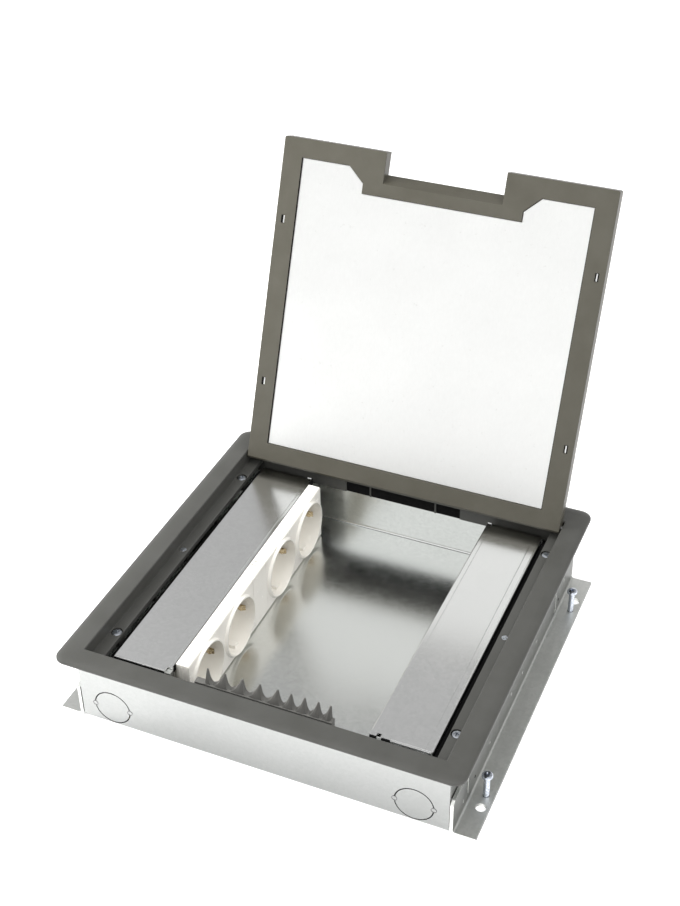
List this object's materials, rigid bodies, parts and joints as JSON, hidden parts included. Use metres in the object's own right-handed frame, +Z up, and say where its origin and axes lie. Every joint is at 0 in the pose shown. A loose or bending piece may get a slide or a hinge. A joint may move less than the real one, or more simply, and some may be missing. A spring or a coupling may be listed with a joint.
{
  "type": "floor socket box",
  "caption": "Recessed floor socket box: folded sheet tub with flanges, moulded frame, hinged lid with a cable cut-out, side-mounted twin sockets and a cable comb.",
  "frame": {"origin": "middle of the four fixing holes, on the underside of the flange brackets", "axes": "+Z up out of the floor, +Y towards the lid hinge, +X to the compartment away from the sockets"},
  "size_m": [0.2766, 0.3271, 0.2662],
  "materials": {
    "dark_moulding": "satin",
    "lid_moulding": "satin",
    "galvanised": "galvanised",
    "lid_sheet": "galvanised",
    "bracket_sheet": "galvanised",
    "zinc_screw": "zinc plated",
    "steel_pin": "plain",
    "ivory_face": "gloss",
    "white_base": "matt",
    "contact_brass": "plain"
  },
  "bodies": {
    "floor_box": {"bar_spacer": "ivory_face", "bezel_frame": "dark_moulding", "cable_comb": "dark_moulding", "earth_terminal": "contact_brass", "flange_bracket_left": "bracket_sheet", "flange_bracket_right": "bracket_sheet", "frame_screws": "zinc_screw", "front_earth_clips": "contact_brass", "front_pin_contacts": "contact_brass", "front_socket_base": "white_base", "front_socket_face": "ivory_face", "left_cover": "galvanised", "rear_earth_clips": "contact_brass", "rear_pin_contacts": "contact_brass", "rear_socket_base": "white_base", "rear_socket_face": "ivory_face", "right_cover": "galvanised", "socket_carrier": "galvanised", "tub": "galvanised"},
    "lid": {"lid_frame": "lid_moulding", "lid_plate": "lid_sheet", "hinge_pin_left": "steel_pin", "hinge_pin_right": "steel_pin"},
    "levelling_screw_front_left": {"levelling_screw_front_left": "zinc_screw"},
    "levelling_screw_front_right": {"levelling_screw_front_right": "zinc_screw"},
    "levelling_screw_rear_left": {"levelling_screw_rear_left": "zinc_screw"},
    "levelling_screw_rear_right": {"levelling_screw_rear_right": "zinc_screw"}
  },
  "joints": [
    {"name": "lid_hinge", "type": "hinge", "parent": "floor_box", "child": "lid", "pos_m": [0, 0.1107, 0.0518], "axis": [1, 0, 0], "range_deg": [0, 111]},
    {"name": "levelling_screw_front_left_turn", "type": "hinge", "parent": "floor_box", "child": "levelling_screw_front_left", "pos_m": [-0.133, -0.0883, 0.01], "axis": [0, 0, 1], "continuous": true},
    {"name": "levelling_screw_front_right_turn", "type": "hinge", "parent": "floor_box", "child": "levelling_screw_front_right", "pos_m": [0.133, -0.0883, 0.01], "axis": [0, 0, 1], "continuous": true},
    {"name": "levelling_screw_rear_left_turn", "type": "hinge", "parent": "floor_box", "child": "levelling_screw_rear_left", "pos_m": [-0.133, 0.0883, 0.01], "axis": [0, 0, 1], "continuous": true},
    {"name": "levelling_screw_rear_right_turn", "type": "hinge", "parent": "floor_box", "child": "levelling_screw_rear_right", "pos_m": [0.133, 0.0883, 0.01], "axis": [0, 0, 1], "continuous": true}
  ]
}
